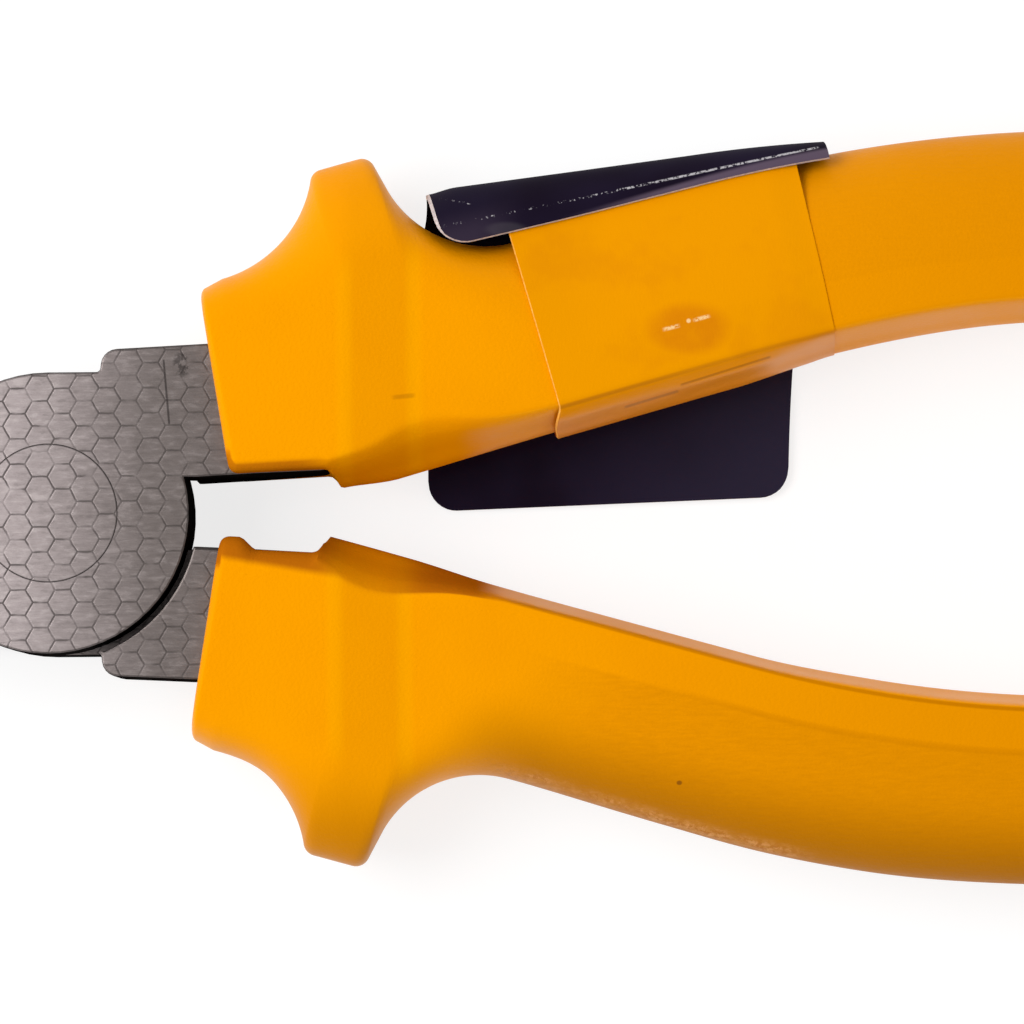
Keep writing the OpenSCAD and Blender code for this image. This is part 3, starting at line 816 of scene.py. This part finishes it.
card = {
    "fit": 0.06,
    "thickness": 0.4,
    "foldStart": 23.2,
    "foldLength": 34.9,
    "foldFront": 6.4,
    "foldBack": 1.3,
    "foldMiddle": -0.5,
    "foldBend": (5.5, 4.5),
    "crestDip": 0.35,
    "dipRun": (0, 0.08),
    "gape": 0.8,
    "gapePlace": (-6, 4),  # middle and spread, from the crest
    "gapeEnd": (-3, 0),
    "gapeRun": (0, 0.12),
    "flapEdge": (0.5, -0.6),
    "dropFront": 4.0,
    "dropBack": 11.8,
    "leanFront": 7.7,
    "leanBack": 10.4,
    "corner": 2.8,
    "cornerMost": 0.7,  # most of the flap that a corner takes
    "endSlant": 0.3,
    "slantRun": (0, 0.012),
    "edgeSlant": 0.07,
    "navy": (0.0085, 0.0048, 0.013, 1),
    "violet": (0.0135, 0.009, 0.024, 1),
    "pale": (0.028, 0.024, 0.050, 1),
    "worn": (0.80, 0.76, 0.80, 1),
    "rubbed": (0.055, 0.048, 0.060, 1),
    "sheen": (0.12, 0.085, 0.125, 1),
    "core": (0.76, 0.73, 0.76, 1),
    "coreDull": (0.42, 0.39, 0.41, 1),
    "crinkles": [((35.5, 25.35), (69.2, 32.4)), ((35.2, 28.1), (37.9, 27.5))],
    "crinkleWidth": 0.15,
    "flakedStretch": (46, 58),
    "rubbedPlace": (41.1, 25.05),
    "rubbedSize": (2.3, 0.85),
    "sheenStretch": (45.0, 57.0),
    "sheenEdge": (8.75, 9.2),
    "lowSheenStretch": (38, 43),
    "lowSheenEdge": (9.5, 12.5),
    "paleStretch": (40.0, 68.0),
}
foldEnd = card["foldStart"] + card["foldLength"]


def flapEdge(u):  # outer distance of the free edge of the card's flap
    return grip["outer"] + lerp(*card["flapEdge"], ramp(card["foldStart"], foldEnd, u))


def strapLine(u, tuck):  # from the back face round the inner side to the front, then straight on
    side = handleOuter(upperForm, u)
    _, outer, _, crease = gripSizes(upperForm, u, side)
    leaveN = lerp(crease, outer, strap["leaveShare"])
    slack = strap["slack"] * (1 - smooth(*strap["slackEnd"], u - strapEnd))
    front = []
    for n, z in gripFront(upperForm, u, side):
        if n < leaveN:
            loose = 1 - smooth(*strap["slackHeight"], z / grip["handleHalf"])
            front.append((n - slack * (loose if n < crease else 0), z))
    back = [(n, -z) for n, z in front if n < crease]
    (n0, z0), (n1, z1) = front[-2:]
    run = (flapEdge(u) + tuck - n1) / (n1 - n0)
    end = [(n1 + run * (n1 - n0) * i / 8, z1 + run * (z1 - z0) * i / 8) for i in range(1, 9)]
    return back[:0:-1] + front + end


def strapTop(u):  # height of the strap's face below the edge of the flap
    return strapLine(u, 0)[-1][1] + strap["fit"] + strap["thickness"]


def wrinkle(x, y):  # height of the strap's slanting wrinkles
    height, soft = 0.0, strap["wrinkleEnd"]
    for (x0, y0), (x1, y1) in strap["wrinkles"]:
        length = math.hypot(x1 - x0, y1 - y0)
        dx, dy = (x1 - x0) / length, (y1 - y0) / length
        along, across = (x - x0) * dx + (y - y0) * dy, (y - y0) * dx - (x - x0) * dy
        inside = hill((-soft, soft), (length - soft, length + soft), along)
        height += bell(0, strap["wrinkleWidth"], across) * inside
    return strap["wrinkleHeight"] * height


def strapRing(u, distance):
    line = strapLine(u, strap["tuck"])
    crumple = [wrinkle(*onHandle(u, n)) if z > 0 else 0.0 for n, z in line]
    thin = strap["thin"] * smooth(*strap["thinEnd"], u - strapEnd)
    skew = strap["cutSkew"] * (1 - ramp(0, strap["skewLength"], u - strap["start"]))
    ring = []
    for (n, z), (outN, outZ), more in zip(line, movedOut(line, 1), crumple):
        reach = lerp(distance + more, strap["fit"], thin)
        x, y = onHandle(u - skew * smooth(*strap["skewSide"], n), n + reach * (outN - n))
        ring.append((x, y, handle["middleZ"] + z + reach * (outZ - z)))
    return ring


def strapFinish():
    c = strap
    material, start, place = newFinish("satinOrangePaper")
    x, y, z = place.split()
    front = frontSide(z)
    fibre = place.stretched(1, 0.35, 1).cloud(6.0, 3)
    cloudy = place.cloud(0.16, 3, 0.6).step(0.5, 0.72)
    torn = place.cloud(3.0, 3, 0.7).step(0.36, 0.5)
    stain = onSpot(x, y, c["stainPlace"], *c["stainSize"]) * (0.35 + place.cloud(0.6, 3, 0.6)) * front
    colour = (stain.high(0.3 * cloudy)).mix(c["orange"], c["stain"])
    scuff = onSpot(x, y, c["dot"], *c["dotSize"])
    for first, last in c["scuffs"]:
        scuff = scuff.high(onLine(x, y, first, last, c["scuffWidth"]) * torn)
    # painted shade along the strap's wrinkles
    for first, last in c["wrinkles"]:
        colour = (0.75 * onLine(x, y, first, last, c["wrinkleShadeWidth"]) * front).mix(colour, c["crease"])
    _, n = handlePlace(x, y)
    fold = 1 - abs(n - c["fold"]).step(*c["foldShadeWidth"])  # painted shade line where the strap turns over the edge of the grip
    colour = ((0.65 - 0.3 * x.step(*c["foldShadeFade"])) * fold * front).mix(colour, c["crease"])
    colour = (0.8 * scuff * front).mix(colour, c["scuff"])
    endFinish(start, {
        "Base Color": colour,
        "Roughness": 0.36 + 0.12 * (fibre - 0.5) + 0.2 * scuff,
        "Specular IOR Level": 0.3,
        "Specular Tint": c["gloss"],
    }, (fibre, 0.08, 0.0003))
    return material


def coreFinish(name, colour, dull):
    material, start, place = newFinish(name)
    fibre = place.cloud(4.0, 4, 0.6)
    endFinish(start, {
        "Base Color": fibre.step(0.3, 0.75).mix(colour, dull),
        "Roughness": 0.8,
    }, (fibre, 0.2, 0.0002))
    return material


def makeStrap():
    us = [lerp(strap["start"], strapEnd, i / 90) for i in range(91)]
    bottom = [strapRing(u, strap["fit"]) for u in us]
    us[0] += strap["cutSlant"]  # the cut edge shows from the front
    top = [strapRing(u, strap["fit"] + strap["thickness"]) for u in us]
    points, faces, finish = sheet(top, bottom)
    core = coreFinish("orangePaperEdge", strap["core"], strap["orange"])
    piece = newPiece("labelStrap", points, faces, [strapFinish(), core], "upper",
                     ["label_strap"], finish)
    shadeByAngle(piece.data, 40)
    return piece


labelStrap = makeStrap()
print("strap made:", len(labelStrap.data.polygons))


# folded card over the strap

def cardLine(t, reach, flap):  # (distance from the crest, z), low edge to crest and crest to flap
    fit, thick = card["fit"], card["thickness"]
    low = -(grip["handleHalf"] + 2 * fit + strap["thickness"] + thick / 2)
    top = strapTop(lerp(card["foldStart"], foldEnd, t)) + 2 * fit + thick / 2
    middle, bend = card["foldMiddle"], lerp(*card["foldBend"], t)
    cut = roundedBack(card["corner"], min(t, 1 - t) * card["foldLength"])  # by the rounded corners
    stop = math.acos(min(card["cornerMost"], cut / flap) if t < 0.5 else 0)
    panel = [(lerp(-reach + cut, -bend, i / 24), low) for i in range(24)]
    for i in range(20):
        a = math.radians(90 * i / 20)
        panel.append((-bend * (1 - math.sin(a)), lerp(middle, low, math.cos(a))))
    over = []
    for i in range(41):
        a = stop * i / 40
        over.append((-flap * (1 - math.cos(a)), lerp(middle, top, math.sin(a))))
    return panel, over


def cardRow(t, distance):
    fold = (card["foldStart"], foldEnd)
    lowFront = Vector((fold[0] - card["leanFront"], -grip["inner"] - card["dropFront"]))
    lowBack = Vector((fold[1] - card["leanBack"], -grip["inner"] - card["dropBack"]))
    low = lowFront.lerp(lowBack, t)
    crestFront = Vector((fold[0], grip["outer"] + card["foldFront"]))
    crestBack = Vector((fold[1], grip["outer"] + card["foldBack"]))
    crest = crestFront.lerp(crestBack, t)
    crest.y -= card["crestDip"] * (1 - smooth(*card["dipRun"], t))
    flapU = lerp(*fold, t)
    flap = Vector((flapU, flapEdge(flapU)))
    panel, over = cardLine(t, (crest - low).length, (crest - flap).length)
    line = movedOut(panel + over, distance)
    if distance < 0:  # the cut edge shows from the front
        line[-1] = (line[-1][0] + card["edgeSlant"], line[-1][1])
    slant = card["endSlant"] * (1 - ramp(*card["slantRun"], t))
    gape = card["gape"] * (1 - smooth(*card["gapeRun"], t))
    row = []
    for i, (along, z) in enumerate(line):
        place = crest + along * (crest - (low if i < len(panel) else flap)).normalized()
        if distance < 0 and i >= len(panel):
            place.x += slant * ramp(0, 2, i - len(panel))
        elif i < len(panel):  # the end of the fold gapes
            place.x -= gape * bell(*card["gapePlace"], along) * (1 - smooth(*card["gapeEnd"], along))
        x, y = onHandle(place.x, place.y)
        row.append((x, y, handle["middleZ"] + z))
    return row


def cardFinish():
    c = card
    material, start, place = newFinish("glossNavyCard")
    x, y, z = place.split()
    front = z.step(handle["middleZ"] - 1, handle["middleZ"])
    tone = place.cloud(0.1, 2).step(0.3, 0.7)
    ripple = place.cloud(0.6, 2)
    flaked = place.stretched(1.6, 1.6, 0.3).cloud(2.2, 3, 0.7)
    colour = tone.mix(c["navy"], c["violet"])
    colour = (0.8 * x.step(*c["paleStretch"]) * (1 - front)).mix(colour, c["pale"])
    rubbed = onSpot(x, y, c["rubbedPlace"], *c["rubbedSize"]) * front
    colour = (0.5 * rubbed).mix(colour, c["rubbed"])
    crinkle = 0.0
    for first, last in c["crinkles"]:
        crinkle = crinkle + onLine(x, y, first, last, c["crinkleWidth"])
    strength = x.step(*c["flakedStretch"]) * 0.16 - 0.04
    crinkle = crinkle * front * flaked.step(0.54 - strength, 0.64 - strength)
    _, n = handlePlace(x, y)
    # painted reflection: a sheen band along the flap's lower edge, and a faint one at its lower left
    sheen = x.step(*c["sheenStretch"]) * (1 - n.step(*c["sheenEdge"])) * front
    low = 0.2 * front * (1 - n.step(*c["lowSheenEdge"])) * (1 - x.step(*c["lowSheenStretch"]))
    colour = low.high(0.85 * sheen).mix(colour, c["sheen"])
    colour = (0.6 * crinkle).mix(colour, c["worn"])
    endFinish(start, {
        "Base Color": colour,
        "Roughness": 0.25 + 0.1 * tone + 0.3 * crinkle,
        "Specular IOR Level": 0.0,
        "Coat Weight": 0.05 + 0.12 * sheen,
        "Coat Roughness": 0.1,
    }, (ripple + 0.6 * crinkle, 0.1, 0.0006))
    return material


def makeCard():
    ends = [0, 0.003, 0.008, 0.016, 0.026, 0.038, 0.052, 0.066, 0.08]  # closer rows at the rounded corners
    steps = ends + [lerp(ends[-1], 1 - ends[-1], i / 60) for i in range(1, 60)]
    steps += [1 - s for s in reversed(ends)]
    thick = card["thickness"] / 2
    points, faces, finish = sheet([cardRow(t, thick) for t in steps], [cardRow(t, -thick) for t in steps])
    core = coreFinish("whiteCardEdge", card["core"], card["coreDull"])
    piece = newPiece("labelCard", points, faces, [cardFinish(), core], "upper",
                     ["label_card"], finish)
    shadeByAngle(piece.data, 40)
    return piece


labelCard = makeCard()
print("card made:", len(labelCard.data.polygons))


# steel halves and rivet

steel = {
    "left": (0.39, 0.335, 0.333, 1),
    "right": (0.172, 0.146, 0.138, 1),
    "bright": (0.62, 0.55, 0.54, 1),
    "dark": (0.09, 0.076, 0.072, 1),
    "steelMarks": (0.025, 0.021, 0.02, 1),
    "line": (0.085, 0.072, 0.07, 1),
    "lineRight": (0.045, 0.038, 0.036, 1),
    "side": (0.006, 0.0052, 0.0052, 1),
    "flank": (0.085, 0.077, 0.075, 1),
    "flankEnd": (-12.0, -6.0),
    "scale": (0.013, 0.0113, 0.011, 1),
    "shift": (-7.0, 11.5),
    "cellSide": 1.30,
    "cellShift": (1.29, 10.02),
    "cellStretch": 1.02,
    "lineWidth": 0.13,
    "rivetRadius": (rivetHigh.x - rivetLow.x) / 2 / mm,
    "rivetLine": (0.05, 0.1),
    "rivetSeat": (0.3, 0.4),
    "scratch": ((10.38, 13.67), (10.86, 7.86)),
    "scratchWidth": 0.14,
    "edgeLine": ((13.0, -3.2), (17.0, -3.35)),
    "edgeLineWidth": 0.3,
    "smudge": (12.05, 13.2),
    "smudgeSize": (1.1, 1.5),
    "bevel": 0.2,
    "bevelAngle": 40,  # edges sharper than this are broken
    "mouthStart": -12.0,
    "mouthHalf": 4.6,
    "rivetRoom": 7.0,
}


def honeycombEdge(x, y, side):  # distance to the nearest line of a honeycomb with level tops
    width, height = 3 * side, math.sqrt(3) * side
    cells = []
    for shift in (0.5, 0.0):
        across = abs((x + shift * width) % width - width / 2)
        up = abs((y + shift * height) % height - height / 2)
        cells.append(up.high(0.5 * up + math.sqrt(0.75) * across))
    return height / 2 - cells[0].low(cells[1])


def steelFinish(name):
    c = steel
    material, start, place = newFinish(name)
    x, y, _ = place.split()
    facing = abs(start.node("ShaderNodeNewGeometry", out=1).split()[2])
    fromRim = abs((x * x + y * y).root() - c["rivetRadius"])
    seat = (1 - fromRim.step(*c["rivetSeat"])) * (1 - facing.step(0.9, 0.98))  # cone under the rivet's head
    face = facing.step(0.55, 0.8) * (1 - seat)
    streak = place.stretched(0.22, 3.0, 1).cloud(1.6, 4, 0.65)
    fine = place.stretched(0.5, 9.0, 1).cloud(1.6, 2)
    blotch = place.cloud(0.25, 3, 0.6)
    # painted shade: the faces darken towards the grips
    gripwardShade = (x + 5 * (blotch - 0.5)).step(*c["shift"])
    colour = gripwardShade.mix(c["left"], c["right"])
    ground = (0.6 * streak.step(0.42, 0.75) + 0.4 * fine.step(0.5, 0.8)) * (0.3 - 0.2 * gripwardShade)
    colour = ground.mix(colour, c["bright"])
    mottle = place.stretched(0.6, 1.5, 1).cloud(1.1, 4, 0.65)
    colour = (0.3 * mottle.step(0.5, 0.68) * (1 - 0.6 * gripwardShade)).mix(colour, c["bright"])
    colour = (0.25 * (1 - mottle.step(0.3, 0.5))).mix(colour, c["dark"])
    wobble = 0.12 * (place.cloud(1.2, 1) - 0.5)
    shiftX, shiftY = c["cellShift"]
    edge = honeycombEdge((x - shiftX + wobble) / c["cellStretch"], y - shiftY + wobble, c["cellSide"])
    worn = 0.3 + 0.7 * place.cloud(0.45, 2).step(0.36, 0.56)
    etched = (1 - edge.step(0.03, c["lineWidth"])) * worn * (1 - 0.4 * gripwardShade)
    line = etched.high(0.8 * (1 - fromRim.step(*c["rivetLine"])))
    colour = (line * 0.95).mix(colour, gripwardShade.mix(c["line"], c["lineRight"]))
    smudge = onSpot(x, y, c["smudge"], *c["smudgeSize"]) * place.cloud(1.4, 3, 0.7).step(0.45, 0.6)
    steelMarks = (0.6 * smudge).high(0.7 * onLine(x, y, *c["scratch"], c["scratchWidth"]))
    # a dark line along the lower shank's edge
    steelMarks = steelMarks.high(0.9 * onLine(x, y, *c["edgeLine"], c["edgeLineWidth"]))
    colour = steelMarks.mix(colour, c["steelMarks"])
    # near-black matte flanks: partly black oxide, partly painted shade by the joint; the jaws' flanks keep
    # a dull sheen
    side = blotch.step(0.4, 0.8).mix(c["side"], c["scale"])
    # painted shade on the broken edges
    colour = (0.5 * facing.inside(0.5, 0.95, 0.03)).mix(colour, c["dark"])
    flank = 1 - x.step(*c["flankEnd"])
    side = flank.mix(side, c["flank"])
    endFinish(start, {
        "Base Color": face.mix(side, colour),
        "Metallic": 0.95 * face.high(0.85 * flank),
        "Roughness": 0.55 - 0.16 * face + 0.12 * (streak - 0.5),
        "Specular IOR Level": 0.0,
    }, (0.5 * streak + 0.5 * fine - 0.5 * etched, 0.15, 0.0002))
    return material


def onOutline(edge):  # sharp edges of the flat faces, but not in the mouth, at the rivet or in the grip
    if len(edge.link_faces) != 2 or edge.calc_face_angle(0) < math.radians(steel["bevelAngle"]):
        return False
    middle = (edge.verts[0].co + edge.verts[1].co) / 2 / mm
    onFace = max(abs(face.normal.z) for face in edge.link_faces) > 0.97
    inMouth = middle.x < steel["mouthStart"] and abs(middle.y) < steel["mouthHalf"]
    atRivet = middle.xy.length < steel["rivetRoom"]
    return onFace and not inMouth and not atRivet and middle.x < shank["notchX"]


def makeHalf(name, node, body, finish):  # copy of the solid with its outline edges broken
    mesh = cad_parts[node].data.copy()
    mesh.materials.clear()
    mesh.materials.append(finish)
    form = bmesh.new()
    form.from_mesh(mesh)
    bmesh.ops.remove_doubles(form, verts=form.verts, dist=1e-6)
    bmesh.ops.dissolve_limit(form, angle_limit=math.radians(0.3), verts=form.verts, edges=form.edges)
    edges = [edge for edge in form.edges if onOutline(edge)]
    bmesh.ops.bevel(form, geom=edges, offset=steel["bevel"] * mm, offset_type="OFFSET", segments=2,
                    profile=0.5, affect="EDGES", clamp_overlap=False)
    bmesh.ops.remove_doubles(form, verts=form.verts, dist=1e-7)
    form.to_mesh(mesh)
    form.free()
    piece = placePiece(bpy.data.objects.new(name, mesh), body, [node])
    shadeByAngle(mesh, 14)
    return piece


etchedSteel = steelFinish("etchedGroundSteel")
upperHalf = makeHalf("upperHalf", "upper_half", "upper", etchedSteel)
lowerHalf = makeHalf("lowerHalf", "lower_half", "lower", etchedSteel)
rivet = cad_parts["pivot_rivet"]
rivet.data.materials.clear()
rivet.data.materials.append(etchedSteel)
weld = rivet.modifiers.new("weld", "WELD")
weld.merge_threshold = 1e-6
print("steel made:", len(upperHalf.data.polygons), len(lowerHalf.data.polygons))


# floor, light and camera

studio = {
    "floorSize": 8.0,
    "worldHorizon": 0.8,
    "worldZenith": 0.45,
    "worldSeen": 1.0,
    "boxPlace": (-0.28, 0.06, 0.42),
    "boxAim": (0.04, 0.0, 0.0),
    "boxSize": (0.36, 0.30),
    "boxPower": 1.95,
    "floorBounce": 0.8,
    "floorGlow": 0.78,
    "floorShade": 0.28,
}


def seenRay(start):  # 1 for what the camera sees, also in a reflection or through glass
    path = start.node("ShaderNodeLightPath").socket.node
    camera, glossy, through = [Wire(start.tree, path.outputs[key]) for key in (
        "Is Camera Ray", "Is Glossy Ray", "Is Transmission Ray")]
    return camera.high(glossy).high(through)


def makeFloor():
    half = studio["floorSize"] / 2
    z = cadBounds[0].z
    mesh = bpy.data.meshes.new("floor")
    corners = [(-half, -half, z), (half, -half, z), (half, half, z), (-half, half, z)]
    mesh.from_pydata(corners, [], [(0, 1, 2, 3)])
    material, start, _ = newFinish("paleFloor")
    bounce, shade = studio["floorBounce"], studio["floorShade"]
    plain = start.node("ShaderNodeBsdfDiffuse", {}, {"Color": (bounce, bounce, bounce, 1)})
    lit = start.node("ShaderNodeBsdfDiffuse", {}, {"Color": (shade, shade, shade, 1)})
    white = start.node("ShaderNodeEmission", {}, {"Color": (1, 1, 1, 1), "Strength": studio["floorGlow"]})
    seen = start.node("ShaderNodeAddShader", {}, {0: lit, 1: white})
    surface = start.node("ShaderNodeMixShader", {}, {0: seenRay(start), 1: plain, 2: seen})
    start.node("ShaderNodeOutputMaterial", {}, {"Surface": surface})
    mesh.materials.append(material)
    floor = bpy.data.objects.new("floor", mesh)
    scene.collection.objects.link(floor)


def makeWorld():
    world = bpy.data.worlds.new("studio")
    world.use_nodes = True
    world.node_tree.nodes.clear()
    start = Wire(world.node_tree)
    up = start.node("ShaderNodeTexCoord").split()[2]
    low, high, seen = [(studio[key],) * 3 + (1,) for key in ("worldHorizon", "worldZenith", "worldSeen")]
    horizon = seenRay(start).mix(low, seen)
    tone = up.step(0.0, 0.95).mix(horizon, high)
    sky = start.node("ShaderNodeBackground", {}, {"Color": tone, "Strength": 1.0})
    start.node("ShaderNodeOutputWorld", {}, {"Surface": sky})
    scene.world = world


def makeSoftbox():
    lamp = bpy.data.lights.new("softbox", "AREA")
    lamp.shape = "RECTANGLE"
    lamp.size, lamp.size_y = studio["boxSize"]
    lamp.energy = studio["boxPower"]
    softbox = bpy.data.objects.new("softbox", lamp)
    softbox.location = studio["boxPlace"]
    softbox.rotation_mode = "QUATERNION"
    softbox.rotation_quaternion = (Vector(studio["boxAim"]) - softbox.location).to_track_quat("-Z", "Y")
    scene.collection.objects.link(softbox)


view = {
    "target": (41.43, 0.09, 11.0),
    "distance": 500.0,
    "tilt": math.radians(3),
    "turn": math.radians(-0.45),
    "width": 91.43,
    "sensor": 36.0,
}


def makeCamera():
    data = bpy.data.cameras.new("camera")
    data.sensor_fit = "HORIZONTAL"
    data.sensor_width = view["sensor"]
    data.lens = view["sensor"] * view["distance"] / view["width"]
    data.clip_start = 0.01
    camera = bpy.data.objects.new("camera", data)
    back = Vector((0, -math.sin(view["tilt"]), math.cos(view["tilt"])))
    place = Vector(view["target"]) + view["distance"] * back
    look = Matrix.Translation(place * mm) @ Matrix.Rotation(view["tilt"], 4, "X")
    camera.matrix_world = Matrix.Rotation(view["turn"], 4, "Z") @ look
    scene.collection.objects.link(camera)
    scene.camera = camera


makeFloor()
makeWorld()
makeSoftbox()
makeCamera()
scene.view_settings.view_transform = "Standard"
print("studio made")
